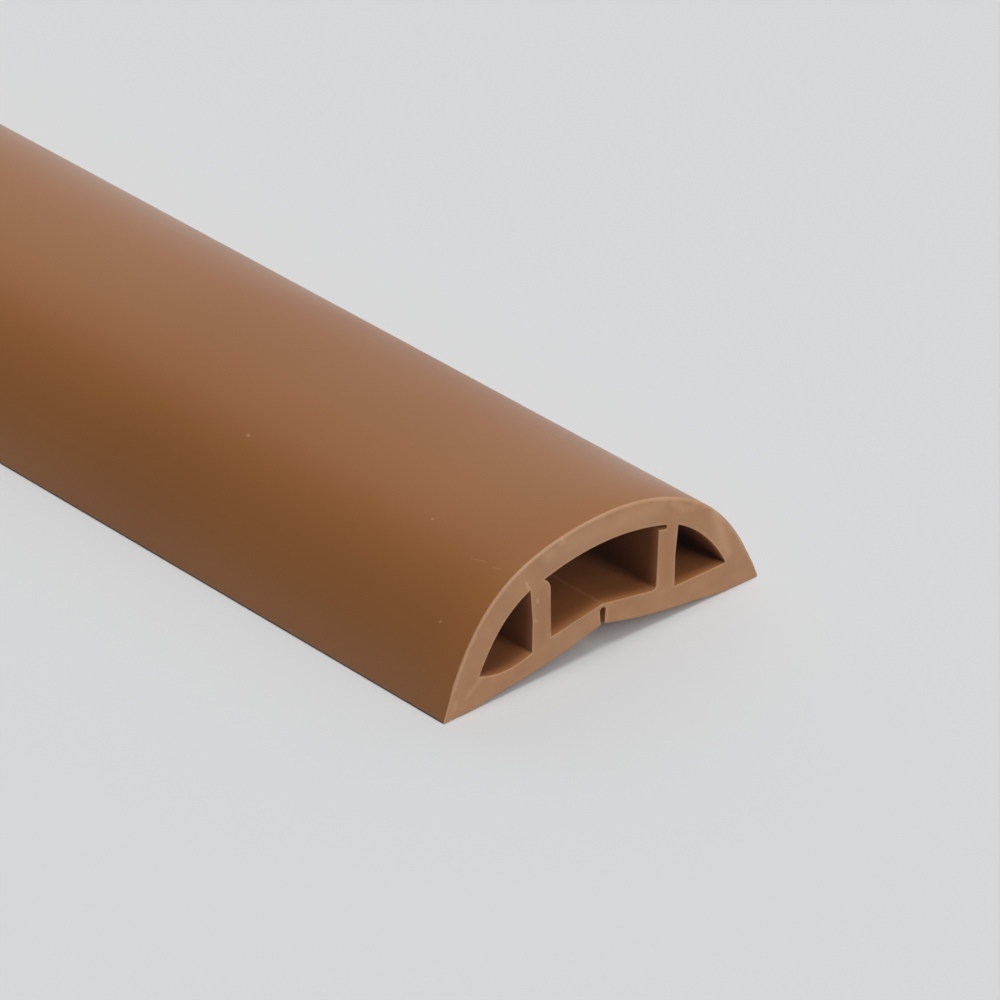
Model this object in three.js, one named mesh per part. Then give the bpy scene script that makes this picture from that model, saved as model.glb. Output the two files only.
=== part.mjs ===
// Floor cord cover: one piece of soft extruded stock with a half-round back, a wide centre
// channel, two three-cornered side channels and a slit in its arched base, where it opens to
// take a cord. Millimetres, +Z up. The stock runs along X, the section lies across in Y and Z,
// and the origin is on the floor, below the middle of the length.
import * as THREE from "three";

// Overall size: the stock is cut to a three-foot length and is two and a half inches wide
const coverLength = 914.4;
const coverWidth = 63.5;
const coverHeight = 23.25;

// Outer arch: its height falls with the square of the way out, and at the shoulders with a high
// power. The left shoulder came off the die fuller than the right one
const leftCrownShare = 0.42;
const rightCrownShare = 0.59;
const shoulderPower = 5.7;
const leftToeLift = 0.15;
const leftToeEdge = 0.35;
const rightToeEdge = 0.4;
const archSteps = 64;

// Walls
const roofWall = 4.85;
const leftWall = 4.65;
const rightWall = 4.15;
const webThickness = 3.8;
const slitMembrane = 0.65;

// Centre channel: its walls lean out a little, and its roof is a shallow arc that cuts past them
const centreChannelWidth = 21.2;
const centreWallLean = 0.25;
const roofRadius = 42;
const roofShift = -0.3;
const leftFloorFall = 1.6;
const rightFloorFall = 1.8;
const floorFillet = 0.8;
const leftNotchDepth = 1.6;
const leftShoulderDrop = 2.2;
const leftShoulderBend = 0.6;
const rightNotchDepth = 1.95;
const rightNotchGap = 0.75;

// Side channels: a floor, an upright web that splays out near its top, and a curved outer wall
const leftChannelFloor = 5.2;
const leftFloorSag = 0.95;
const rightChannelFloor = 5.15;
const rightFloorSag = 0;
const webSplay = 0.5;
const channelCorner = 0.4;

// Underside: two feet, and between them a base that rises slowly from each foot and faster up to the
// slit. The left toe has curled up a little, so its foot meets the floor further in
const leftFootWidth = 5.5;
const leftToeCurl = 4;
const rightFootWidth = 7;
const baseRise = 4.4;
const baseFootSlope = 0.15;
const baseSlitSlope = 0.33;
const slitShift = -0.25;
const slitMouth = 0.75;
const slitWidth = 1.15;
const slitDepth = 2.9;

const curveSteps = 12;
const searchSteps = 40;
const vinylColour = 0x8a5c37;

const halfWidth = coverWidth / 2;
const halfChannel = centreChannelWidth / 2;
const ridgeHeight = baseRise + slitDepth + slitMembrane;

const leftArch = { crownShare: leftCrownShare, end: leftToeLift + leftToeEdge };
const rightArch = { crownShare: rightCrownShare, end: rightToeEdge };

// Height of the outer surface at a distance y from the middle
function archHeight(y, arch) {
  const share = Math.abs(y) / halfWidth;
  const shoulder = (1 - arch.crownShare) * share ** shoulderPower;
  return arch.end + (coverHeight - arch.end) * (1 - arch.crownShare * share ** 2 - shoulder);
}

// Fall of the outer surface for each millimetre outwards
function archFall(y, arch) {
  const share = y / halfWidth;
  const shoulder = shoulderPower * (1 - arch.crownShare) * share ** (shoulderPower - 1);
  return ((coverHeight - arch.end) / halfWidth) * (2 * arch.crownShare * share + shoulder);
}

// Point one wall below the outer surface, square to it, for a distance y from the middle
function underArch(y, wall, arch) {
  const fall = archFall(y, arch);
  const length = Math.hypot(fall, 1);
  return new THREE.Vector2(y - (wall * fall) / length, archHeight(y, arch) - wall / length);
}

// Distance from the middle at which a measure that grows outwards reaches its target
function reach(measure, target) {
  let low = 0;
  let high = halfWidth;
  for (let step = 0; step < searchSteps; step += 1) {
    const middle = (low + high) / 2;
    if (measure(middle) < target) {
      low = middle;
    } else {
      high = middle;
    }
  }
  return low;
}

// Height of the centre channel's roof at a distance y from the middle
function roofHeight(y) {
  return coverHeight - roofWall - roofRadius + Math.sqrt(roofRadius ** 2 - (y - roofShift) ** 2);
}

// Outline of the stock: over the arch from right to left, then back along the underside. Both toes
// end in a low square edge, and under the left one the curl comes down to the floor
function coverOutline() {
  const outline = new THREE.Shape();
  const leftFootEdge = leftFootWidth - halfWidth;
  const rightFootEdge = halfWidth - rightFootWidth;
  const slitLeft = slitShift - slitMouth / 2;
  const slitRight = slitShift + slitMouth / 2;
  const leftThird = (slitLeft - leftFootEdge) / 3;
  const rightThird = (rightFootEdge - slitRight) / 3;
  const slitTop = baseRise + slitDepth - slitWidth / 2;
  outline.moveTo(halfWidth, 0);
  for (let step = 0; step <= archSteps; step += 1) {
    const y = halfWidth - (coverWidth * step) / archSteps;
    outline.lineTo(y, archHeight(y, y < 0 ? leftArch : rightArch));
  }
  outline.lineTo(-halfWidth, leftToeLift);
  outline.quadraticCurveTo(leftToeCurl / 2 - halfWidth, 0, leftToeCurl - halfWidth, 0);
  outline.lineTo(leftFootEdge, 0);
  outline.bezierCurveTo(
    leftFootEdge + leftThird,
    baseFootSlope * leftThird,
    slitLeft - leftThird,
    baseRise - baseSlitSlope * leftThird,
    slitLeft,
    baseRise,
  );
  outline.lineTo(slitShift - slitWidth / 2, slitTop);
  outline.absarc(slitShift, slitTop, slitWidth / 2, Math.PI, 0, true);
  outline.lineTo(slitRight, baseRise);
  outline.bezierCurveTo(
    slitRight + rightThird,
    baseRise - baseSlitSlope * rightThird,
    rightFootEdge - rightThird,
    baseFootSlope * rightThird,
    rightFootEdge,
    0,
  );
  outline.closePath();
  return outline;
}

// Centre channel: a floor that falls both ways from the ridge over the slit, a right wall with a
// notch cut in above it along the roof, the roof arc, and a left wall with a round shoulder at its top
function centreChannel() {
  const channel = new THREE.Path();
  const wallTop = halfChannel + centreWallLean;
  const leftFloor = ridgeHeight - leftFloorFall;
  const rightFloor = ridgeHeight - rightFloorFall;
  const notchEnd = halfChannel + rightNotchDepth;
  const notchRound = notchEnd - rightNotchGap / 2;
  const notchLip = roofHeight(wallTop) - rightNotchGap;
  const notchHigh = roofHeight(notchRound);
  const notchLow = notchHigh - rightNotchGap;
  const leftTip = -halfChannel - leftNotchDepth;
  const roofCentre = coverHeight - roofWall - roofRadius;
  channel.moveTo(-halfChannel, leftFloor);
  channel.lineTo(slitShift, ridgeHeight);
  channel.lineTo(halfChannel - floorFillet, rightFloor);
  channel.quadraticCurveTo(halfChannel, rightFloor, halfChannel, rightFloor + floorFillet);
  channel.lineTo(wallTop, notchLip);
  channel.lineTo(notchRound, notchLow);
  channel.quadraticCurveTo(notchEnd, notchLow, notchEnd, (notchLow + notchHigh) / 2);
  channel.quadraticCurveTo(notchEnd, notchHigh, notchRound, notchHigh);
  const roofFrom = Math.acos((notchRound - roofShift) / roofRadius);
  const roofTo = Math.acos((leftTip - roofShift) / roofRadius);
  channel.absarc(roofShift, roofCentre, roofRadius, roofFrom, roofTo, false);
  const tipHeight = roofHeight(leftTip);
  const bendHeight = tipHeight - leftShoulderBend;
  channel.quadraticCurveTo(-wallTop, bendHeight, -wallTop, tipHeight - leftShoulderDrop);
  channel.closePath();
  return channel;
}

// Side channel: up the web to the apex under the arch, down the curved wall, and back on the floor
function sideChannel(side, arch, wall, floor, sag) {
  const channel = new THREE.Path();
  const webFace = halfChannel + webThickness;
  const curve = (y) => underArch(y, wall, arch);
  const fromApex = reach((y) => curve(y).x, webFace + webSplay);
  const toCorner = reach((y) => -curve(y).y, -floor - channelCorner);
  const apex = curve(fromApex);
  const corner = curve(reach((y) => -curve(y).y, -floor));
  channel.moveTo(side * webFace, floor);
  channel.lineTo(side * webFace, (floor + apex.y) / 2);
  for (let step = 0; step <= curveSteps; step += 1) {
    const point = curve(fromApex + ((toCorner - fromApex) * step) / curveSteps);
    channel.lineTo(side * point.x, point.y);
  }
  const floorEnd = corner.x - channelCorner;
  channel.quadraticCurveTo(side * corner.x, floor, side * floorEnd, floor);
  channel.quadraticCurveTo((side * (floorEnd + webFace)) / 2, floor - 2 * sag, side * webFace, floor);
  return channel;
}

function cordCover() {
  const section = coverOutline();
  section.holes.push(centreChannel());
  section.holes.push(sideChannel(-1, leftArch, leftWall, leftChannelFloor, leftFloorSag));
  section.holes.push(sideChannel(1, rightArch, rightWall, rightChannelFloor, rightFloorSag));
  const geometry = new THREE.ExtrudeGeometry(section, {
    depth: coverLength,
    bevelEnabled: false,
    curveSegments: curveSteps,
  });
  const material = new THREE.MeshStandardMaterial({ color: vinylColour, roughness: 0.5, metalness: 0 });
  const cover = new THREE.Mesh(geometry, material);
  cover.name = "cord_cover";
  // The section's own axes turn to lie across and up, and its depth along the length
  const across = new THREE.Vector3(0, 1, 0);
  const up = new THREE.Vector3(0, 0, 1);
  const along = new THREE.Vector3(1, 0, 0);
  cover.setRotationFromMatrix(new THREE.Matrix4().makeBasis(across, up, along));
  cover.position.x = -coverLength / 2;
  return cover;
}

const floorCordCover = new THREE.Group();
floorCordCover.add(cordCover());

export default floorCordCover;
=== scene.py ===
"""A floor cord cover in soft brown vinyl, dressed for the camera.

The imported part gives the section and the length. This file builds a finely divided surface over it,
with rounded cut edges and sawn faces, gives it its vinyl, and sets the floor, the light and the camera.
"""

import math
import random

import bmesh
import bpy
from mathutils import Matrix, Vector, noise
from mathutils.geometry import delaunay_2d_cdt


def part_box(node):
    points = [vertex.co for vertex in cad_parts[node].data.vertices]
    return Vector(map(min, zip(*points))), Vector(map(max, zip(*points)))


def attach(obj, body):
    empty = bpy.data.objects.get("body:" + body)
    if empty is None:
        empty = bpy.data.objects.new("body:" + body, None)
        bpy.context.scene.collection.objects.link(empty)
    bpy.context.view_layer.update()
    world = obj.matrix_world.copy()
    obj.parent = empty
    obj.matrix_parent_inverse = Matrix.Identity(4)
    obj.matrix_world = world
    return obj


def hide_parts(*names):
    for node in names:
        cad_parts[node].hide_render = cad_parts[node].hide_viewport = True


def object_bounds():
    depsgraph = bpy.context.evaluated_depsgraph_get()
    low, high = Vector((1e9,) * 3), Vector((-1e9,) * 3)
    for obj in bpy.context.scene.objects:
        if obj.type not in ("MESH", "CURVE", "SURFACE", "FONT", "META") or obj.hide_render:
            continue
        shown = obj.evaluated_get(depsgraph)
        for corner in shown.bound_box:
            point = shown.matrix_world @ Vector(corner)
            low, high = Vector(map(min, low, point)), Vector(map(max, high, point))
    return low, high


bl_info = {
    "name": "Floor cord cover",
    "version": (1, 0, 0),
    "blender": (4, 5, 0),
    "location": "3D View > Sidebar > Cord cover",
    "description": "Builds a length of soft floor cord cover with its finish, stage and camera",
    "category": "Add Mesh",
}

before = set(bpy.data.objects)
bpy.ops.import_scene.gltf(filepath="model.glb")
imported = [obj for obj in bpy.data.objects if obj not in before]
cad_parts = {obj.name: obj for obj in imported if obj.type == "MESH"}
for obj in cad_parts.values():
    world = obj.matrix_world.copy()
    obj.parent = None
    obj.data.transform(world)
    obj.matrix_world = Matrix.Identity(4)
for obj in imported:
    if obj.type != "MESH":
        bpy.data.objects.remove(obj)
CAD_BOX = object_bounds()
CAD_NODE = "cord_cover"
MM = 0.001

# Places of the three finishes in the cover's material list
SKIN, CUT, CHANNEL = range(3)

# Reading the section, in metres: how near to the cut plane a point counts as on it, and the decimals
# that are kept
SAME_PLACE = 1e-6
PLACE_DECIMALS = 7

# Corners of the section: the turn from which a corner is softened, the steps of that, the most it may
# take of a side, the turn from which it stays a sharp line, and the sharpest mitre of an inset
SOFT_CORNER = math.radians(25)
CORNER_STEPS = 4
MOST_OF_A_SIDE = 0.45
CREASE = math.radians(11)
SHARPEST_MITRE = 0.5

# Cut edges: the steps of their rounding, and how wide the parts are where it is small
ROUNDING_STEPS = 3
SLIT_ZONE = 1.5 * MM
TOE_ZONE = 1.2 * MM

# Painted highlight along the cut edges, by strength: full on the arch, less round the channels, faint on
# the underside that faces away from the light; and how far up the way into the wall points where the
# underside starts
ARCH_RIM_HIGHLIGHT = 1.0
CHANNEL_RIM_HIGHLIGHT = 0.8
UNDERSIDE_RIM_HIGHLIGHT = 0.1
UNDERSIDE_FROM = 0.2

# Filling of the cut faces: how close its points may come to others, as shares of the fringe and of the
# grid, and how far the grid's points stray, as a share of the grid
FACE_SEED = 11
FRINGE_GAP = 0.8
GRID_GAP = 0.6
GRID_STRAY = 0.25

# Cutting the filling into triangles: what counts as one point, in millimetres, and the kind of result,
# which is all triangles out to the hull
SAME_POINT = 1e-6
OUT_TO_THE_HULL = 0

# Waves along, across and up, by the metre: of the skin, and of the hollows that the blade left
SKIN_WAVES = (9, 60, 60)
BLADE_WAVES = (7, 160, 300)

# Marks on the near cut end, each from one point to another in millimetres across and up, then its
# width in millimetres and how strongly it shows
CUT_MARKS = {
    "nick in the left arch": ((-15.8, 17.6), (-15.2, 16.4), 0.35, 0.5),
    "pale patch on the roof": ((-11.5, 20.5), (-11.0, 20.4), 1.8, 0.2),
    "fleck on the roof": ((-8.8, 22.2), (-8.6, 22.1), 0.35, 0.5),
    "smear on the roof": ((-8.9, 21.4), (-8.2, 21.5), 0.8, 0.3),
    "pale sweep over the roof": ((-7.0, 20.9), (11.0, 20.3), 2.6, 0.16),
    "drag over the right shoulder": ((13.7, 19.8), (15.8, 17.9), 1.1, 0.25),
    "end of the drag": ((15.8, 17.9), (17.9, 17.3), 1.0, 0.2),
    "spot in the left web": ((-13.5, 13.8), (-13.4, 13.5), 0.5, 0.35),
    "lower spot in the left web": ((-14.0, 10.7), (-13.6, 10.2), 0.4, 0.3),
    # Painted highlight: the next three paint a pale band down the right arch, near its outer edge
    "painted highlight down the right arch": ((22.5, 14.5), (23.7, 11.6), 1.6, 0.3),
    "middle of the painted highlight": ((23.7, 11.6), (24.5, 9.0), 1.8, 0.3),
    "foot of the painted highlight": ((24.5, 9.0), (25.4, 6.6), 1.5, 0.25),
    "patch along the left foot": ((-27.3, 2.8), (-24.4, 4.9), 0.9, 0.22),
    "patch at the left toe": ((-29.6, 1.8), (-29.4, 2.7), 0.8, 0.2),
}

# Painted shade down the webs of the near cut end, laid on in the rose colour, given in the same way
WEB_SHADE_MARKS = {
    "painted shade down the left web": ((-12.6, 14.5), (-12.5, 7.0), 2.4, 1.0),
    "painted shade down the right web": ((12.7, 16.0), (12.6, 7.5), 2.4, 1.0),
}

# Marks on the skin, each from one point to another in millimetres along from the near end, across
# and up, then its width in millimetres and how strongly it shows
SKIN_MARKS = {
    "far speck": ((-57.9, -19.2, 19.0), (-57.7, -19.2, 19.0), 0.45, 0.4),
    "near speck": ((-19.4, -16.7, 20.3), (-19.3, -16.6, 20.3), 0.35, 0.4),
    "speck on the flank": ((-6.9, -26.4, 12.1), (-6.9, -26.3, 12.2), 0.35, 0.45),
    "scratch near the end": ((-8.6, -18.9, 19.2), (-6.1, -18.3, 19.5), 0.22, 0.15),
    "short scratch": ((-4.4, -18.6, 19.4), (-2.9, -18.1, 19.6), 0.2, 0.15),
}

# Painted highlight along the ridge of the centre channel's floor, given in the same way
CHANNEL_RIDGE_HIGHLIGHT = {
    "painted highlight on the ridge of the centre floor": ((-914.4, -0.25, 7.9), (0.0, -0.25, 7.9), 0.45, 0.28),
}

# Part of the noise's range that the tone drift is stretched from, and the share of the channels' colour
# that their darker patches keep
DRIFT_LOW = 0.35
DRIFT_HIGH = 0.65
DARK_PATCH_SHARE = 0.85

# Sockets of Blender's mix node, by number because some share a name
MIX_FACTOR = 0
FIRST_NUMBER = 2
SECOND_NUMBER = 3
FIRST_COLOUR = 6
SECOND_COLOUR = 7
MIXED_COLOUR = 2

# Camera: the point it looks at is given from the middle of the near cut end, on the floor
AIM_FROM_END = Vector((-18.567, -3.948, 18.945)) * MM
CAMERA_AZIMUTH = math.radians(47.1682)
CAMERA_ELEVATION = math.radians(29.9874)
CAMERA_ROLL = math.radians(0.628)
CAMERA_DISTANCE = 1.03015
CAMERA_LENS = 251.17
CAMERA_REACH = 200.0

# Light: where each comes from, and how far from its middle the pale backdrop reaches
KEY_FROM = Vector((0.1, -0.05, 1.0))
LOW_FRONT_FROM = Vector((0.888, 0.078, 0.454))
HIGH_FRONT_FROM = Vector((0.614, 0.054, 0.788))
BACKDROP_TOWARD = Vector((-0.63, 0.70, 0.34))
BACKDROP_FULL = math.cos(math.radians(28))
BACKDROP_END = math.cos(math.radians(65))

# The faint even haze of the lens, which keeps the deepest shadows from going black
VEIL = 0.003

# The room's faint cool tint, and the floor's dull finish
ROOM_COLOUR = (0.985, 0.995, 1.0)
FLOOR_ROUGHNESS = 0.9
FLOOR_SPECULAR = 0.1


class CoverSettings(bpy.types.PropertyGroup):
    """Sizes and colours of the cover's surface"""

    edge_round: bpy.props.FloatProperty(
        name="Outer edge rounding",
        description="Radius of the outer edge round the cut ends",
        default=0.3 * MM,
        unit="LENGTH",
    )
    mouth_round: bpy.props.FloatProperty(
        name="Channel edge rounding",
        description="Radius of the cut edges round the channels and the slit",
        default=0.08 * MM,
        unit="LENGTH",
    )
    corner_round: bpy.props.FloatProperty(
        name="Corner rounding",
        description="Length that each sharp corner of the section loses to its soft rounding",
        default=0.2 * MM,
        unit="LENGTH",
    )
    station_step: bpy.props.FloatProperty(
        name="Station step",
        description="Spacing of the mesh along the length",
        default=8 * MM,
        unit="LENGTH",
    )
    wander: bpy.props.FloatProperty(
        name="Skin wander",
        description="Depth of the slow waves that the soft extrusion keeps in its skin",
        default=0.03 * MM,
        unit="LENGTH",
    )
    face_grid: bpy.props.FloatProperty(
        name="Cut face grid",
        description="Spacing of the mesh over the cut faces",
        default=0.8 * MM,
        unit="LENGTH",
    )
    face_relief: bpy.props.FloatProperty(
        name="Cut face relief",
        description="Depth of the unevenness that the blade left in the cut faces",
        default=0.05 * MM,
        unit="LENGTH",
    )
    # Painted highlight: the pale band along the cut edges fades out over this width
    highlight_fringe: bpy.props.FloatProperty(
        name="Pale fringe",
        description="Width of the pale fringe that the blade left along the edges of the cut faces",
        default=0.35 * MM,
        unit="LENGTH",
    )
    # Painted light: how far the light at each channel's mouth is painted in
    mouth_light_reach: bpy.props.FloatProperty(
        name="Mouth reach",
        description="How far the lighter skin at the mouth of each channel reaches in",
        default=2.1 * MM,
        unit="LENGTH",
    )
    skin_colour: bpy.props.FloatVectorProperty(
        name="Skin colour",
        description="Colour of the extruded skin",
        default=(0.301, 0.116, 0.033),
        size=3,
        subtype="COLOR",
    )
    skin_deep_colour: bpy.props.FloatVectorProperty(
        name="Deep skin colour",
        description="Colour that the skin drifts to in slow patches",
        default=(0.285, 0.107, 0.029),
        size=3,
        subtype="COLOR",
    )
    # Painted shade: darker than the outer skin, for the shade inside the channels
    channel_shaded_colour: bpy.props.FloatVectorProperty(
        name="Channel colour",
        description="Colour of the duller skin inside the channels",
        default=(0.222, 0.076, 0.0215),
        size=3,
        subtype="COLOR",
    )
    # Painted light at the channels' mouths, where the light from the ends reaches in
    mouth_light_colour: bpy.props.FloatVectorProperty(
        name="Channel mouth colour",
        description="Lighter colour that the skin inside the channels has close to the cut ends",
        default=(0.33, 0.135, 0.047),
        size=3,
        subtype="COLOR",
    )
    cut_colour: bpy.props.FloatVectorProperty(
        name="Cut face colour",
        description="Colour of the sawn faces",
        default=(0.383, 0.187, 0.083),
        size=3,
        subtype="COLOR",
    )
    # Also the colour of the painted shade down the webs of the near cut end
    cut_rose_and_shade_colour: bpy.props.FloatVectorProperty(
        name="Rose cut colour",
        description="Colour that the sawn faces drift to in soft patches and down the webs",
        default=(0.338, 0.154, 0.066),
        size=3,
        subtype="COLOR",
    )
    smear_colour: bpy.props.FloatVectorProperty(
        name="Smeared cut colour",
        description="Duller colour of the patches of the sawn faces that the blade smeared",
        default=(0.348, 0.196, 0.107),
        size=3,
        subtype="COLOR",
    )
    # Also the colour of the painted highlights along the cut edges and down the right arch
    pale_and_highlight_colour: bpy.props.FloatVectorProperty(
        name="Scuff colour",
        description="Colour of stressed vinyl: cut edges, scuffs and specks",
        default=(0.63, 0.37, 0.22),
        size=3,
        subtype="COLOR",
    )
    skin_roughness: bpy.props.FloatProperty(
        name="Skin roughness",
        description="Roughness of the extruded skin",
        default=0.34,
        min=0.0,
        max=1.0,
        subtype="FACTOR",
    )
    cut_roughness: bpy.props.FloatProperty(
        name="Cut face roughness",
        description="Roughness of the sawn faces",
        default=0.6,
        min=0.0,
        max=1.0,
        subtype="FACTOR",
    )


class StageSettings(bpy.types.PropertyGroup):
    """Floor and light"""

    floor_colour: bpy.props.FloatVectorProperty(
        name="Floor colour",
        description="Colour of the plain floor",
        default=(0.665, 0.672, 0.68),
        size=3,
        subtype="COLOR",
    )
    floor_size: bpy.props.FloatProperty(
        name="Floor size",
        description="Side of the square floor",
        default=60.0,
        unit="LENGTH",
    )
    room_brightness: bpy.props.FloatProperty(
        name="Room brightness",
        description="Brightness of the dim room round the stage",
        default=0.075,
    )
    backdrop_brightness: bpy.props.FloatProperty(
        name="Backdrop brightness",
        description="Brightness of the pale backdrop, and of what shows past the floor",
        default=0.66,
    )
    key_strength: bpy.props.FloatProperty(
        name="Key strength",
        description="Strength of the soft light from above",
        default=1.55,
    )
    key_spread: bpy.props.FloatProperty(
        name="Key spread",
        description="Angle across the soft light from above",
        default=math.radians(28),
        subtype="ANGLE",
    )
    low_front_strength: bpy.props.FloatProperty(
        name="Low front strength",
        description="Strength of the low light that reaches into the channels from the near end",
        default=1.3,
    )
    high_front_strength: bpy.props.FloatProperty(
        name="High front strength",
        description="Strength of the high light that falls on the near cut end",
        default=0.5,
    )
    front_spread: bpy.props.FloatProperty(
        name="Front spread",
        description="Angle across each of the two lights in front of the near cut end",
        default=math.radians(26),
        subtype="ANGLE",
    )


def left_of(direction):
    """The direction turned a quarter turn to the left."""
    return Vector((-direction.y, direction.x))


def section_loops(mesh):
    """The near cut end's outlines as (y, z) points, the outer one first, with the wall on their left."""
    near = max(vertex.co.x for vertex in mesh.vertices)
    places = {}
    for vertex in mesh.vertices:
        if near - vertex.co.x < SAME_PLACE:
            across, up = vertex.co.yz
            places[vertex.index] = (round(across, PLACE_DECIMALS), round(up, PLACE_DECIMALS))
    following = {}
    for face in mesh.polygons:
        corners = [places.get(index) for index in face.vertices]
        if None in corners:
            continue
        for here, there in zip(corners, corners[1:] + corners[:1]):
            if here in following.get(there, set()):
                following[there].discard(here)
            else:
                following.setdefault(here, set()).add(there)
    loops = []
    waiting = {here for here, ends in following.items() if ends}
    while waiting:
        start = min(waiting)
        loop = [start]
        here = next(iter(following[start]))
        while here != start:
            loop.append(here)
            here = next(iter(following[here]))
        waiting -= set(loop)
        loops.append([Vector(point) for point in loop])
    loops.sort(key=lambda loop: min(point.x for point in loop))
    return loops


def turn_at(loop, index):
    """How far the outline turns at one of its points."""
    ahead = loop[(index + 1) % len(loop)] - loop[index]
    return (loop[index] - loop[index - 1]).angle(ahead)


def softened(loop, length):
    """The loop with a small curve for each sharp corner, which takes this length off its two sides."""
    soft = []
    for index, here in enumerate(loop):
        if turn_at(loop, index) < SOFT_CORNER:
            soft.append(here)
            continue
        sides = [loop[index - 1] - here, loop[(index + 1) % len(loop)] - here]
        ends = [here + side.normalized() * min(length, side.length * MOST_OF_A_SIDE) for side in sides]
        for step in range(CORNER_STEPS + 1):
            share = step / CORNER_STEPS
            soft.append(ends[0] * (1 - share) ** 2 + here * 2 * share * (1 - share) + ends[1] * share**2)
    return soft


def inset(loop, depths):
    """The loop moved into the material by a depth for each point."""
    moved = []
    for index, here in enumerate(loop):
        before = left_of((here - loop[index - 1]).normalized())
        after = left_of((loop[(index + 1) % len(loop)] - here).normalized())
        normal = (before + after).normalized()
        mitre = max(normal.dot(before), SHARPEST_MITRE)
        moved.append(here + normal * (depths[index] / mitre))
    return moved


def inside(point, loop):
    """True if the point lies inside the loop."""
    crossings = 0
    for index, here in enumerate(loop):
        before = loop[index - 1]
        if (here.y > point.y) != (before.y > point.y):
            along = (point.y - before.y) / (here.y - before.y)
            if point.x < before.x + along * (here.x - before.x):
                crossings += 1
    return crossings % 2 == 1


def in_material(point, loops):
    """True if the point lies in the wall of the section."""
    return inside(point, loops[0]) and not any(inside(point, loop) for loop in loops[1:])


def near_loops(point, loops, distance):
    """True if the point is closer to a corner of an outline than the distance."""
    return any((point - corner).length < distance for loop in loops for corner in loop)


def edge_row(loops, highlight_fringe):
    """Points one fringe inside the outlines, where the section's wall has room for them."""
    row = []
    for loop in loops:
        for point in inset(loop, [highlight_fringe] * len(loop)):
            if in_material(point, loops) and not near_loops(point, loops + [row], highlight_fringe * FRINGE_GAP):
                row.append(point)
    return row


def loose_grid(loops, grid):
    """Points of a grid over the section's wall, each a little astray."""
    corners = [point for loop in loops for point in loop]
    low = Vector((min(point.x for point in corners), min(point.y for point in corners)))
    high = Vector((max(point.x for point in corners), max(point.y for point in corners)))
    draw = random.Random(FACE_SEED)
    points = []
    for row in range(int((high.y - low.y) / grid) + 1):
        for column in range(int((high.x - low.x) / grid) + 1):
            stray = Vector([draw.uniform(-GRID_STRAY, GRID_STRAY) for _ in range(2)])
            point = low + (Vector((column, row)) + stray) * grid
            if in_material(point, loops) and not near_loops(point, loops, grid * GRID_GAP):
                points.append(point)
    return points


def outline_edges(loops):
    """Pairs of neighbours on the outlines, whose points are numbered on from loop to loop."""
    edges = []
    start = 0
    for loop in loops:
        count = len(loop)
        edges += [(start + index, start + (index + 1) % count) for index in range(count)]
        start += count
    return edges


def face_mesh(loops, grid, highlight_fringe):
    """Points and triangles that fill the section's wall: the outlines' points first, then a row close
    inside them and a loose grid."""
    points = [point for loop in loops for point in loop]
    points += edge_row(loops, highlight_fringe) + loose_grid(loops, grid)
    scaled = [point / MM for point in points]
    edges = outline_edges(loops)
    places, _, triangles, sources, _, _ = delaunay_2d_cdt(scaled, edges, [], OUT_TO_THE_HULL, SAME_POINT)
    kept = []
    for triangle in triangles:
        middle = sum((places[corner] for corner in triangle), Vector((0, 0))) / len(triangle)
        if in_material(middle * MM, loops):
            kept.append([sources[corner][0] for corner in triangle])
    return points, kept


def hollow(x, point, waves):
    """How deep the surface dips at a place, from 0 to 1."""
    along, across, up = waves
    return 0.5 + 0.5 * noise.noise(Vector((x * along, point.x * across, point.y * up)))


def skin_depths(loop, x, wander):
    """How far the skin lies below its true place at a station, for each point of the loop."""
    return [wander * hollow(x, point, SKIN_WAVES) for point in loop]


def small_edge(point, middle_height):
    """True along the slit and at the tips of the toes, where the cut edge is only lightly rounded."""
    at_slit = abs(point.x) < SLIT_ZONE and point.y < middle_height
    at_toe = CAD_BOX[1].y - abs(point.x) < TOE_ZONE
    return at_slit or at_toe


def edge_radii(loops, settings):
    """The rounding of the cut edge at each point: small at the channels, along the slit and at the toes."""
    middle_height = (CAD_BOX[0].z + CAD_BOX[1].z) / 2
    radii = []
    for loop in loops:
        at_mouth = [loop is not loops[0] or small_edge(point, middle_height) for point in loop]
        radii.append([settings.mouth_round if mouth else settings.edge_round for mouth in at_mouth])
    return radii


def rim_highlight_strengths(loops):
    """How strong the painted highlight along the cut edge is at each point: most on the arch, less round
    the channels, least on the underside, which faces away from the light.
    """
    strengths = []
    for loop in loops:
        row = []
        for index in range(len(loop)):
            into_wall = left_of(loop[(index + 1) % len(loop)] - loop[index - 1]).normalized()
            outer = ARCH_RIM_HIGHLIGHT if into_wall.y < UNDERSIDE_FROM else UNDERSIDE_RIM_HIGHLIGHT
            row.append(outer if loop is loops[0] else CHANNEL_RIM_HIGHLIGHT)
        strengths.append(row)
    return strengths


def add_ring(shell, loops, radii, x, turn, settings):
    """One ring of the loft for each loop. A turn over zero carries it round the cut edge at x."""
    # rim: the strength of the painted highlight along the cut edge, for each point
    rim = shell.verts.layers.float["rim"]
    ring = []
    for loop, radius, strength in zip(loops, radii, rim_highlight_strengths(loops)):
        skin = skin_depths(loop, x, settings.wander)
        depths = [r * (1 - math.cos(turn)) + s for r, s in zip(radius, skin)]
        corners = []
        for point, r, pale in zip(inset(loop, depths), radius, strength):
            back = math.copysign(r * (1 - math.sin(turn)), x)
            vertex = shell.verts.new((x - back, point.x, point.y))
            vertex[rim] = pale
            corners.append(vertex)
        ring.append(corners)
    return ring


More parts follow.
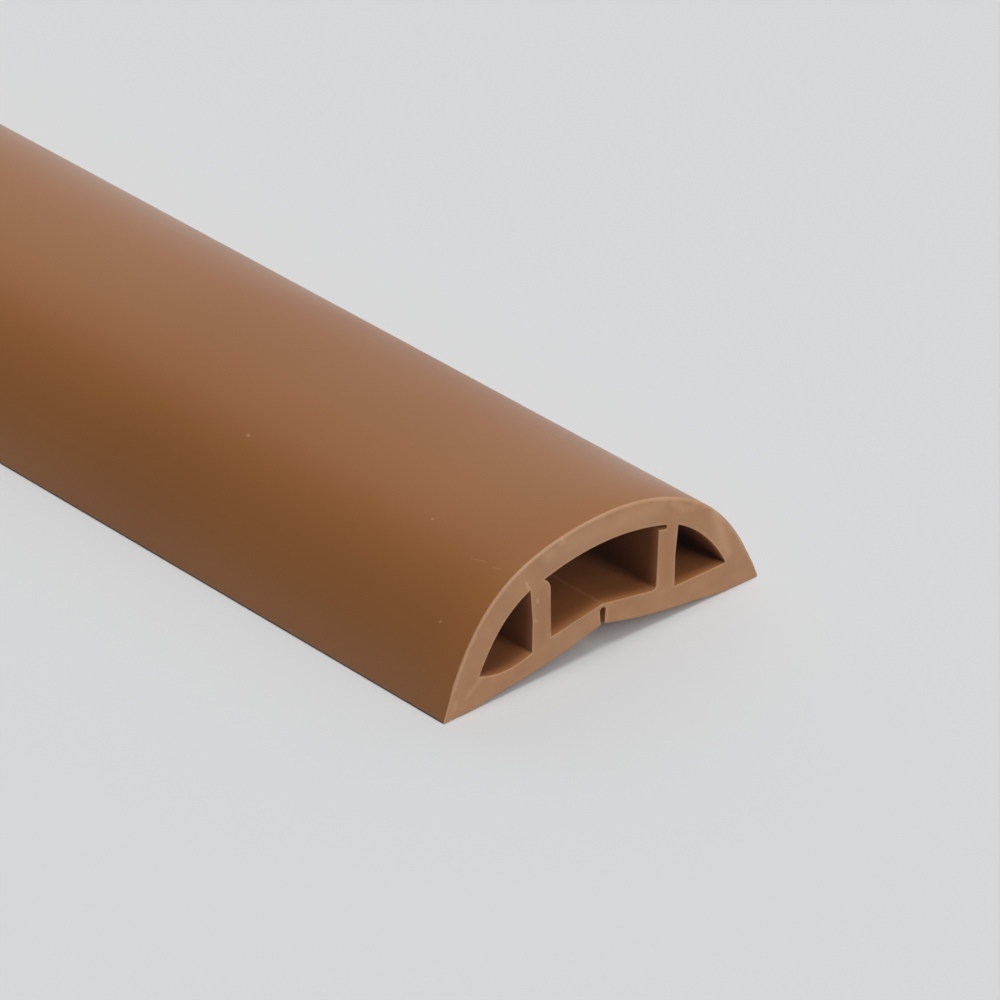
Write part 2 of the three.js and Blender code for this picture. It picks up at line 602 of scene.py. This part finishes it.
def join_rings(shell, here, there, creases, on_edge):
    """A band of faces between two rings, with the section's creases kept sharp."""
    for low, high, creased in zip(here, there, creases):
        skin = SKIN if low is here[0] else CHANNEL
        for index in range(len(low)):
            after = (index + 1) % len(low)
            face = shell.faces.new((low[index], low[after], high[after], high[index]))
            face.material_index = CUT if on_edge else skin
            if creased[index]:
                shell.edges.get((low[index], high[index])).smooth = False


def loft_rings(shell, loops, half_length, settings):
    """The rings of the loft, from the far cut edge to the near one."""
    radii = edge_radii(loops, settings)
    turns = [math.pi / 2 * index / ROUNDING_STEPS for index in range(ROUNDING_STEPS + 1)]
    far = [add_ring(shell, loops, radii, -half_length, turn, settings) for turn in reversed(turns)]
    count = round(2 * half_length / settings.station_step)
    no_radii = [[0.0] * len(loop) for loop in loops]
    body = []
    for index in range(1, count):
        x = -half_length + 2 * half_length * index / count
        body.append(add_ring(shell, loops, no_radii, x, 0.0, settings))
    near = [add_ring(shell, loops, radii, half_length, turn, settings) for turn in turns]
    return far + body + near


def build_cover(settings):
    """The cover as one closed mesh: lofted skin, rounded cut edges and two cut faces."""
    low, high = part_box(CAD_NODE)
    corner = settings.corner_round
    loops = [softened(loop, corner) for loop in section_loops(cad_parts[CAD_NODE].data)]
    creases = [[turn_at(loop, index) > CREASE for index in range(len(loop))] for loop in loops]
    shell = bmesh.new()
    # rim holds the strength of the painted highlight along the cut edges
    shell.verts.layers.float.new("rim")
    rings = loft_rings(shell, loops, (high.x - low.x) / 2, settings)
    last_band = len(rings) - 2
    for band, (here, there) in enumerate(zip(rings, rings[1:])):
        on_edge = min(band, last_band - band) < ROUNDING_STEPS
        join_rings(shell, here, there, creases, on_edge)
    for ring in (rings[0], rings[-1]):
        close_end(shell, ring, settings)
    bmesh.ops.recalc_face_normals(shell, faces=shell.faces)
    mesh = bpy.data.meshes.new("cord_cover_skin")
    shell.to_mesh(mesh)
    shell.free()
    mesh.polygons.foreach_set("use_smooth", [True] * len(mesh.polygons))
    cover = bpy.data.objects.new("cord_cover_skin", mesh)
    bpy.context.scene.collection.objects.link(cover)
    return cover


def close_end(shell, ring, settings):
    """Fills one end with a finely divided face that the blade left a little uneven."""
    x = ring[0][0].co.x
    inward = -math.copysign(1, x)
    loops = [[Vector((vertex.co.y, vertex.co.z)) for vertex in corners] for corners in ring]
    corners = [vertex for loop in ring for vertex in loop]
    points, triangles = face_mesh(loops, settings.face_grid, settings.highlight_fringe)
    for point in points[len(corners):]:
        depth = settings.face_relief * hollow(x, point, BLADE_WAVES)
        corners.append(shell.verts.new((x + inward * depth, point.x, point.y)))
    for triangle in triangles:
        face = shell.faces.new([corners[index] for index in triangle])
        face.material_index = CUT


def new_group(name, inputs, outputs):
    """A shader node group with named inputs (name, type, value) and outputs (name, type)."""
    group = bpy.data.node_groups.new(name, "ShaderNodeTree")
    for label, kind, value in inputs:
        socket = group.interface.new_socket(label, in_out="INPUT", socket_type=kind)
        if value is not None:
            socket.default_value = value
    for label, kind in outputs:
        group.interface.new_socket(label, in_out="OUTPUT", socket_type=kind)
    start = group.nodes.new("NodeGroupInput")
    end = group.nodes.new("NodeGroupOutput")
    return group, start, end


def place(tree, kind, inputs=(), **settings):
    """A new node with its settings, and with its inputs' values given as pairs of input and value."""
    node = tree.nodes.new(kind)
    for name, value in settings.items():
        setattr(node, name, value)
    for name, value in inputs:
        node.inputs[name].default_value = value
    return node


def place_fall(tree, **settings):
    """A new node that falls from 1, for a value of 0, to 0 at its upper limit."""
    return place(tree, "ShaderNodeMapRange", [("To Min", 1.0), ("To Max", 0.0)], **settings)


def tone_drift_group():
    """Slow soft patches: a mask that drifts between 0 and 1."""
    group, start, end = new_group(
        "Tone drift",
        [
            ("Place", "NodeSocketVector", None),
            ("Scale", "NodeSocketFloat", 100.0),
            ("Detail", "NodeSocketFloat", 2.0),
        ],
        [("Mask", "NodeSocketFloat")],
    )
    cloud = place(group, "ShaderNodeTexNoise")
    limits = [("From Min", DRIFT_LOW), ("From Max", DRIFT_HIGH)]
    spread = place(group, "ShaderNodeMapRange", limits)
    group.links.new(start.outputs["Place"], cloud.inputs["Vector"])
    group.links.new(start.outputs["Scale"], cloud.inputs["Scale"])
    group.links.new(start.outputs["Detail"], cloud.inputs["Detail"])
    group.links.new(cloud.outputs[0], spread.inputs["Value"])
    group.links.new(spread.outputs[0], end.inputs["Mask"])
    return group


def speck_group():
    """Tiny stray marks: a mask that is 1 on a few small spots."""
    group, start, end = new_group(
        "Stray specks",
        [
            ("Place", "NodeSocketVector", None),
            ("Scale", "NodeSocketFloat", 60.0),
            ("Size", "NodeSocketFloat", 0.04),
            ("Share", "NodeSocketFloat", 0.3),
        ],
        [("Mask", "NodeSocketFloat")],
    )
    cells = place(group, "ShaderNodeTexVoronoi")
    chosen = place(group, "ShaderNodeMath", operation="LESS_THAN")
    parts = place(group, "ShaderNodeSeparateColor")
    size = place(group, "ShaderNodeMath", operation="MULTIPLY")
    spot = place_fall(group)
    both = place(group, "ShaderNodeMath", operation="MULTIPLY")
    group.links.new(start.outputs["Place"], cells.inputs["Vector"])
    group.links.new(start.outputs["Scale"], cells.inputs["Scale"])
    group.links.new(cells.outputs["Color"], parts.inputs[0])
    group.links.new(parts.outputs["Red"], chosen.inputs[0])
    group.links.new(start.outputs["Share"], chosen.inputs[1])
    group.links.new(parts.outputs["Green"], size.inputs[0])
    group.links.new(start.outputs["Size"], size.inputs[1])
    group.links.new(cells.outputs["Distance"], spot.inputs["Value"])
    group.links.new(size.outputs[0], spot.inputs["From Max"])
    group.links.new(spot.outputs[0], both.inputs[0])
    group.links.new(chosen.outputs[0], both.inputs[1])
    group.links.new(both.outputs[0], end.inputs["Mask"])
    return group


def stroke_group():
    """One listed mark: a mask that is 1 along a short line and fades over its width."""
    group, start, end = new_group(
        "Stroke",
        [
            ("Place", "NodeSocketVector", None),
            ("From", "NodeSocketVector", (0.0, 0.0, 0.0)),
            ("To", "NodeSocketVector", (0.0, 0.0, 0.001)),
            ("Width", "NodeSocketFloat", 0.001),
            ("Strength", "NodeSocketFloat", 1.0),
        ],
        [("Mask", "NodeSocketFloat")],
    )
    line = place(group, "ShaderNodeVectorMath", operation="SUBTRACT")
    reach = place(group, "ShaderNodeVectorMath", operation="SUBTRACT")
    along = place(group, "ShaderNodeVectorMath", operation="DOT_PRODUCT")
    square = place(group, "ShaderNodeVectorMath", operation="DOT_PRODUCT")
    share = place(group, "ShaderNodeMath", operation="DIVIDE", use_clamp=True)
    foot = place(group, "ShaderNodeVectorMath", operation="SCALE")
    off = place(group, "ShaderNodeVectorMath", operation="DISTANCE")
    fade = place_fall(group, interpolation_type="SMOOTHSTEP")
    shown = place(group, "ShaderNodeMath", operation="MULTIPLY")
    group.links.new(start.outputs["To"], line.inputs[0])
    group.links.new(start.outputs["From"], line.inputs[1])
    group.links.new(start.outputs["Place"], reach.inputs[0])
    group.links.new(start.outputs["From"], reach.inputs[1])
    group.links.new(line.outputs[0], along.inputs[0])
    group.links.new(reach.outputs[0], along.inputs[1])
    group.links.new(line.outputs[0], square.inputs[0])
    group.links.new(line.outputs[0], square.inputs[1])
    group.links.new(along.outputs["Value"], share.inputs[0])
    group.links.new(square.outputs["Value"], share.inputs[1])
    group.links.new(line.outputs[0], foot.inputs[0])
    group.links.new(share.outputs[0], foot.inputs["Scale"])
    group.links.new(foot.outputs[0], off.inputs[0])
    group.links.new(reach.outputs[0], off.inputs[1])
    group.links.new(off.outputs["Value"], fade.inputs["Value"])
    group.links.new(start.outputs["Width"], fade.inputs["From Max"])
    group.links.new(fade.outputs[0], shown.inputs[0])
    group.links.new(start.outputs["Strength"], shown.inputs[1])
    group.links.new(shown.outputs[0], end.inputs["Mask"])
    return group


def grain_group():
    """Fine relief: a height that mixes a close grain with long drawn lines."""
    group, start, end = new_group(
        "Fine grain",
        [
            ("Place", "NodeSocketVector", None),
            ("Grain scale", "NodeSocketFloat", 2500.0),
            ("Line stretch", "NodeSocketVector", (1.0, 1.0, 1.0)),
            ("Line share", "NodeSocketFloat", 0.5),
        ],
        [("Height", "NodeSocketFloat")],
    )
    close = place(group, "ShaderNodeTexNoise")
    drawn = place(group, "ShaderNodeVectorMath", operation="MULTIPLY")
    lines = place(group, "ShaderNodeTexNoise", [("Scale", 1.0), ("Detail", 2.0)])
    blend = place(group, "ShaderNodeMix", data_type="FLOAT")
    group.links.new(start.outputs["Place"], close.inputs["Vector"])
    group.links.new(start.outputs["Grain scale"], close.inputs["Scale"])
    group.links.new(start.outputs["Place"], drawn.inputs[0])
    group.links.new(start.outputs["Line stretch"], drawn.inputs[1])
    group.links.new(drawn.outputs[0], lines.inputs["Vector"])
    group.links.new(start.outputs["Line share"], blend.inputs[MIX_FACTOR])
    group.links.new(close.outputs[0], blend.inputs[FIRST_NUMBER])
    group.links.new(lines.outputs[0], blend.inputs[SECOND_NUMBER])
    group.links.new(blend.outputs[0], end.inputs["Height"])
    return group


def mouth_light_group():
    """The painted light at the channels' mouths at both cut ends: a mask that is 1 at the end and fades
    over the first millimetres.
    """
    group, start, end = new_group(
        "Mouth",
        [
            ("Place", "NodeSocketVector", None),
            ("End", "NodeSocketFloat", 0.5),
            ("Reach", "NodeSocketFloat", 0.002),
        ],
        [("Mask", "NodeSocketFloat")],
    )
    parts = place(group, "ShaderNodeSeparateXYZ")
    either_side = place(group, "ShaderNodeMath", operation="ABSOLUTE")
    depth = place(group, "ShaderNodeMath", operation="SUBTRACT")
    fade = place_fall(group, interpolation_type="SMOOTHSTEP")
    group.links.new(start.outputs["Place"], parts.inputs[0])
    group.links.new(parts.outputs["X"], either_side.inputs[0])
    group.links.new(start.outputs["End"], depth.inputs[0])
    group.links.new(either_side.outputs[0], depth.inputs[1])
    group.links.new(depth.outputs[0], fade.inputs["Value"])
    group.links.new(start.outputs["Reach"], fade.inputs["From Max"])
    group.links.new(fade.outputs[0], end.inputs["Mask"])
    return group


def new_material(name):
    """A new material, with its node tree and its surface shader."""
    material = bpy.data.materials.new(name)
    material.use_nodes = True
    tree = material.node_tree
    return material, tree, tree.nodes["Principled BSDF"]


def use_group(tree, group, **values):
    """The group placed in a material, fed with the object's own coordinates and its own values."""
    node = tree.nodes.new("ShaderNodeGroup")
    node.node_tree = group
    where = tree.nodes.get("Where") or place(tree, "ShaderNodeTexCoord", name="Where")
    tree.links.new(where.outputs["Object"], node.inputs["Place"])
    for name, value in values.items():
        node.inputs[name.replace("_", " ")].default_value = value
    return node


def mix_colour(tree, mask, under, over, share=1.0):
    """Lays one colour over another by a mask, and returns the colour socket."""
    mix = place(tree, "ShaderNodeMix", data_type="RGBA")
    strength = place(tree, "ShaderNodeMath", [(1, share)], operation="MULTIPLY")
    tree.links.new(mask, strength.inputs[0])
    tree.links.new(strength.outputs[0], mix.inputs[MIX_FACTOR])
    for socket, value in ((mix.inputs[FIRST_COLOUR], under), (mix.inputs[SECOND_COLOUR], over)):
        if isinstance(value, bpy.types.NodeSocket):
            tree.links.new(value, socket)
        else:
            socket.default_value = (*value, 1.0)
    return mix.outputs[MIXED_COLOUR]


def marks_mask(tree, stroke, marks):
    """All the listed marks of a surface as one mask."""
    total = None
    for start, finish, width, strength in marks:
        mark = use_group(tree, stroke, From=start, To=finish, Width=width, Strength=strength)
        if total is None:
            total = mark.outputs["Mask"]
            continue
        either = place(tree, "ShaderNodeMath", operation="MAXIMUM")
        tree.links.new(total, either.inputs[0])
        tree.links.new(mark.outputs["Mask"], either.inputs[1])
        total = either.outputs[0]
    return total


def cut_marks(marks):
    """Marks on the near cut end, in metres in the cover's own frame."""
    near = CAD_BOX[1].x
    for start, finish, width, strength in marks.values():
        ends = [Vector((near, y * MM, z * MM)) for y, z in (start, finish)]
        yield ends[0], ends[1], width * MM, strength


def skin_marks(marks):
    """Marks on the skin, outside or in the channels, in metres in the cover's own frame."""
    near = Vector((CAD_BOX[1].x, 0.0, 0.0))
    for start, finish, width, strength in marks.values():
        yield near + Vector(start) * MM, near + Vector(finish) * MM, width * MM, strength


def roughness_from(tree, shader, mask, roughness, span):
    """Lets the roughness run by a mask, from one end of a span round its usual value to the other."""
    limits = [("To Min", roughness + span[0]), ("To Max", roughness + span[1])]
    spread = place(tree, "ShaderNodeMapRange", limits)
    tree.links.new(mask, spread.inputs["Value"])
    tree.links.new(spread.outputs[0], shader.inputs["Roughness"])


def bump_from(tree, shader, height, strength, distance):
    """Feeds the shader's normal with a height, whose whole range stands for a distance in metres."""
    bump = place(tree, "ShaderNodeBump")
    bump.inputs["Strength"].default_value = strength
    bump.inputs["Distance"].default_value = distance
    tree.links.new(height, bump.inputs["Height"])
    tree.links.new(bump.outputs[0], shader.inputs["Normal"])


def skin_vinyl(settings, groups):
    """Extruded skin: satin brown with slow tone patches, faint drawn lines and a few pale specks."""
    material, tree, shader = new_material("skin_vinyl")
    drift = use_group(tree, groups["drift"], Scale=22.0, Detail=1.0)
    specks = use_group(tree, groups["specks"], Scale=55.0, Size=0.035, Share=0.35)
    grain = use_group(
        tree, groups["grain"], Grain_scale=1800.0, Line_stretch=(6.0, 900.0, 900.0), Line_share=0.4
    )
    tone = mix_colour(tree, drift.outputs["Mask"], settings.skin_colour, settings.skin_deep_colour)
    tone = mix_colour(tree, specks.outputs["Mask"], tone, settings.pale_and_highlight_colour, share=0.6)
    marks = marks_mask(tree, groups["stroke"], skin_marks(SKIN_MARKS))
    tone = mix_colour(tree, marks, tone, settings.pale_and_highlight_colour)
    tree.links.new(tone, shader.inputs["Base Color"])
    roughness_from(tree, shader, drift.outputs["Mask"], settings.skin_roughness, span=(-0.03, 0.05))
    bump_from(tree, shader, grain.outputs["Height"], strength=0.12, distance=0.05 * MM)
    return material


def shaded_channel_vinyl(settings, groups):
    """Skin inside the channels: duller, darker with painted shade, with painted light at the mouths and a
    painted highlight on the ridge.
    """
    material, tree, shader = new_material("shaded_channel_vinyl")
    drift = use_group(tree, groups["drift"], Scale=60.0, Detail=2.0)
    grain = use_group(
        tree, groups["grain"], Grain_scale=1800.0, Line_stretch=(6.0, 700.0, 700.0), Line_share=0.6
    )
    darker = tuple(part * DARK_PATCH_SHARE for part in settings.channel_shaded_colour)
    mouth = use_group(tree, groups["mouth"], End=CAD_BOX[1].x, Reach=settings.mouth_light_reach)
    # Painted shade: the channels' darker colour, with slow random patches
    tone = mix_colour(tree, drift.outputs["Mask"], settings.channel_shaded_colour, darker)
    # Painted light at the channels' mouths
    tone = mix_colour(tree, mouth.outputs["Mask"], tone, settings.mouth_light_colour)
    # Painted highlight along the ridge of the centre channel's floor, in the cut colour
    ridge = marks_mask(tree, groups["stroke"], skin_marks(CHANNEL_RIDGE_HIGHLIGHT))
    tone = mix_colour(tree, ridge, tone, settings.cut_colour)
    tree.links.new(tone, shader.inputs["Base Color"])
    roughness_from(tree, shader, drift.outputs["Mask"], settings.skin_roughness, span=(0.1, 0.2))
    bump_from(tree, shader, grain.outputs["Height"], strength=0.2, distance=0.05 * MM)
    return material


def cut_vinyl(settings, groups):
    """Sawn face: paler and duller, with soft rose patches, smears and pale marks, painted shade down the
    webs, and painted highlights down the right arch and along the edges.
    """
    material, tree, shader = new_material("cut_vinyl")
    drift = use_group(tree, groups["drift"], Scale=210.0, Detail=2.0)
    smear = use_group(tree, groups["drift"], Scale=90.0, Detail=3.0)
    specks = use_group(tree, groups["specks"], Scale=260.0, Size=0.09, Share=0.2)
    grain = use_group(
        tree, groups["grain"], Grain_scale=2600.0, Line_stretch=(1.0, 260.0, 1500.0), Line_share=0.5
    )
    rim = place(tree, "ShaderNodeAttribute", attribute_name="rim")
    tone = mix_colour(tree, drift.outputs["Mask"], settings.cut_colour, settings.cut_rose_and_shade_colour)
    tone = mix_colour(tree, smear.outputs["Mask"], tone, settings.smear_colour, share=0.5)
    tone = mix_colour(tree, specks.outputs["Mask"], tone, settings.pale_and_highlight_colour, share=0.5)
    # Painted shade down the webs
    web_shade = marks_mask(tree, groups["stroke"], cut_marks(WEB_SHADE_MARKS))
    tone = mix_colour(tree, web_shade, tone, settings.cut_rose_and_shade_colour)
    # Pale marks in the vinyl, and the painted highlight down the right arch
    marks = marks_mask(tree, groups["stroke"], cut_marks(CUT_MARKS))
    tone = mix_colour(tree, marks, tone, settings.pale_and_highlight_colour)
    # Painted highlight along the cut edges: the pale colour laid on by the rim strengths
    tone = mix_colour(tree, rim.outputs["Fac"], tone, settings.pale_and_highlight_colour, share=0.28)
    tree.links.new(tone, shader.inputs["Base Color"])
    roughness_from(tree, shader, smear.outputs["Mask"], settings.cut_roughness, span=(-0.06, 0.08))
    bump_from(tree, shader, grain.outputs["Height"], strength=0.25, distance=0.08 * MM)
    return material


class CORDCOVER_OT_cover(bpy.types.Operator):
    """Builds the cord cover's surface and gives it its vinyl"""

    bl_idname = "cordcover.cover"
    bl_label = "Cord cover"

    def execute(self, context):
        settings = context.scene.cord_cover
        cover = build_cover(settings)
        groups = {
            "drift": tone_drift_group(),
            "specks": speck_group(),
            "stroke": stroke_group(),
            "grain": grain_group(),
            "mouth": mouth_light_group(),
        }
        cover.data.materials.append(skin_vinyl(settings, groups))
        cover.data.materials.append(cut_vinyl(settings, groups))
        cover.data.materials.append(shaded_channel_vinyl(settings, groups))
        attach(cover, "root")
        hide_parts(CAD_NODE)
        return {"FINISHED"}


class CORDCOVER_OT_stage(bpy.types.Operator):
    """Lays the plain pale floor and sets the soft light"""

    bl_idname = "cordcover.stage"
    bl_label = "Floor and light"

    def execute(self, context):
        settings = context.scene.cord_cover_stage
        lay_floor(settings)
        set_light(context.scene, settings)
        return {"FINISHED"}


class CORDCOVER_OT_camera(bpy.types.Operator):
    """Sets the camera to the photograph's viewing angle"""

    bl_idname = "cordcover.camera"
    bl_label = "Camera"

    def execute(self, context):
        set_camera(context.scene)
        return {"FINISHED"}


class CORDCOVER_PT_sidebar(bpy.types.Panel):
    """Lists the cover's builders and their settings"""

    bl_idname = "CORDCOVER_PT_sidebar"
    bl_label = "Floor cord cover"
    bl_space_type = "VIEW_3D"
    bl_region_type = "UI"
    bl_category = "Cord cover"

    def draw(self, context):
        for operator, settings in (
            (CORDCOVER_OT_cover, context.scene.cord_cover),
            (CORDCOVER_OT_stage, context.scene.cord_cover_stage),
            (CORDCOVER_OT_camera, None),
        ):
            self.layout.operator(operator.bl_idname)
            for name in settings.__annotations__ if settings else ():
                self.layout.prop(settings, name)


def lay_floor(settings):
    """A large plain floor at the height that the cover rests on."""
    half = settings.floor_size / 2
    floor_height = CAD_BOX[0].z
    corners = [(-half, -half), (half, -half), (half, half), (-half, half)]
    mesh = bpy.data.meshes.new("floor")
    mesh.from_pydata([(x, y, floor_height) for x, y in corners], [], [(0, 1, 2, 3)])
    floor = bpy.data.objects.new("floor", mesh)
    bpy.context.scene.collection.objects.link(floor)
    material, _, shader = new_material("pale_floor")
    shader.inputs["Base Color"].default_value = (*settings.floor_colour, 1.0)
    shader.inputs["Roughness"].default_value = FLOOR_ROUGHNESS
    shader.inputs["Specular IOR Level"].default_value = FLOOR_SPECULAR
    mesh.materials.append(material)


def add_sun(scene, name, toward, strength, spread):
    """A soft light from far away."""
    data = bpy.data.lights.new(name, "SUN")
    data.energy = strength
    data.angle = spread
    lamp = bpy.data.objects.new(name, data)
    lamp.rotation_mode = "QUATERNION"
    lamp.rotation_quaternion = toward.to_track_quat("Z", "Y")
    scene.collection.objects.link(lamp)


def set_room(scene, settings):
    """A dim room with a pale backdrop, whose brightness the picture also shows past the floor."""
    room = bpy.data.worlds.new("room")
    room.use_nodes = True
    tree = room.node_tree
    lit = tree.nodes["Background"]
    where = place(tree, "ShaderNodeTexCoord")
    toward = BACKDROP_TOWARD.normalized()
    near_backdrop = place(tree, "ShaderNodeVectorMath", [(1, toward)], operation="DOT_PRODUCT")
    limits = [
        ("From Min", BACKDROP_END),
        ("From Max", BACKDROP_FULL),
        ("To Min", settings.room_brightness),
        ("To Max", settings.backdrop_brightness),
    ]
    spread = place(tree, "ShaderNodeMapRange", limits, interpolation_type="SMOOTHSTEP")
    path = place(tree, "ShaderNodeLightPath")
    in_picture = [(SECOND_NUMBER, settings.backdrop_brightness)]
    seen = place(tree, "ShaderNodeMix", in_picture, data_type="FLOAT")
    tree.links.new(where.outputs["Generated"], near_backdrop.inputs[0])
    tree.links.new(near_backdrop.outputs["Value"], spread.inputs["Value"])
    tree.links.new(path.outputs["Is Camera Ray"], seen.inputs[MIX_FACTOR])
    tree.links.new(spread.outputs[0], seen.inputs[FIRST_NUMBER])
    tree.links.new(seen.outputs[0], lit.inputs["Strength"])
    lit.inputs["Color"].default_value = (*ROOM_COLOUR, 1.0)
    scene.world = room


def set_light(scene, settings):
    """The room, a wide soft light from above and two in front of the near cut end."""
    set_room(scene, settings)
    add_sun(scene, "key", KEY_FROM, settings.key_strength, settings.key_spread)
    add_sun(scene, "low_front", LOW_FRONT_FROM, settings.low_front_strength, settings.front_spread)
    add_sun(scene, "high_front", HIGH_FRONT_FROM, settings.high_front_strength, settings.front_spread)
    scene.view_settings.view_transform = "Standard"
    scene.view_settings.use_curve_mapping = True
    scene.view_settings.curve_mapping.black_level = (-VEIL, -VEIL, -VEIL)
    scene.view_settings.curve_mapping.update()


def set_camera(scene):
    """A long lens from the near end's left, looking a little down."""
    turn, rise = CAMERA_AZIMUTH, CAMERA_ELEVATION
    back = Vector((math.sin(turn) * math.cos(rise), -math.cos(turn) * math.cos(rise), math.sin(rise)))
    right = Vector((math.cos(turn), math.sin(turn), 0.0))
    up = back.cross(right)
    tilted_right = right * math.cos(CAMERA_ROLL) + up * math.sin(CAMERA_ROLL)
    tilted_up = up * math.cos(CAMERA_ROLL) - right * math.sin(CAMERA_ROLL)
    end = Vector((CAD_BOX[1].x, (CAD_BOX[0].y + CAD_BOX[1].y) / 2, CAD_BOX[0].z))
    place_of_camera = end + AIM_FROM_END + back * CAMERA_DISTANCE
    data = bpy.data.cameras.new("camera")
    data.lens = CAMERA_LENS
    data.clip_end = CAMERA_REACH
    camera = bpy.data.objects.new("camera", data)
    scene.collection.objects.link(camera)
    turned = Matrix((tilted_right, tilted_up, back)).transposed().to_4x4()
    camera.matrix_world = Matrix.Translation(place_of_camera) @ turned
    scene.camera = camera


CLASSES = (
    CoverSettings,
    StageSettings,
    CORDCOVER_OT_cover,
    CORDCOVER_OT_stage,
    CORDCOVER_OT_camera,
    CORDCOVER_PT_sidebar,
)


def register():
    for item in CLASSES:
        bpy.utils.register_class(item)
    bpy.types.Scene.cord_cover = bpy.props.PointerProperty(type=CoverSettings)
    bpy.types.Scene.cord_cover_stage = bpy.props.PointerProperty(type=StageSettings)


def unregister():
    del bpy.types.Scene.cord_cover_stage
    del bpy.types.Scene.cord_cover
    for item in reversed(CLASSES):
        bpy.utils.unregister_class(item)


def main():
    register()
    bpy.ops.cordcover.camera()
    bpy.ops.cordcover.cover()
    bpy.ops.cordcover.stage()


if __name__ == "__main__":
    main()
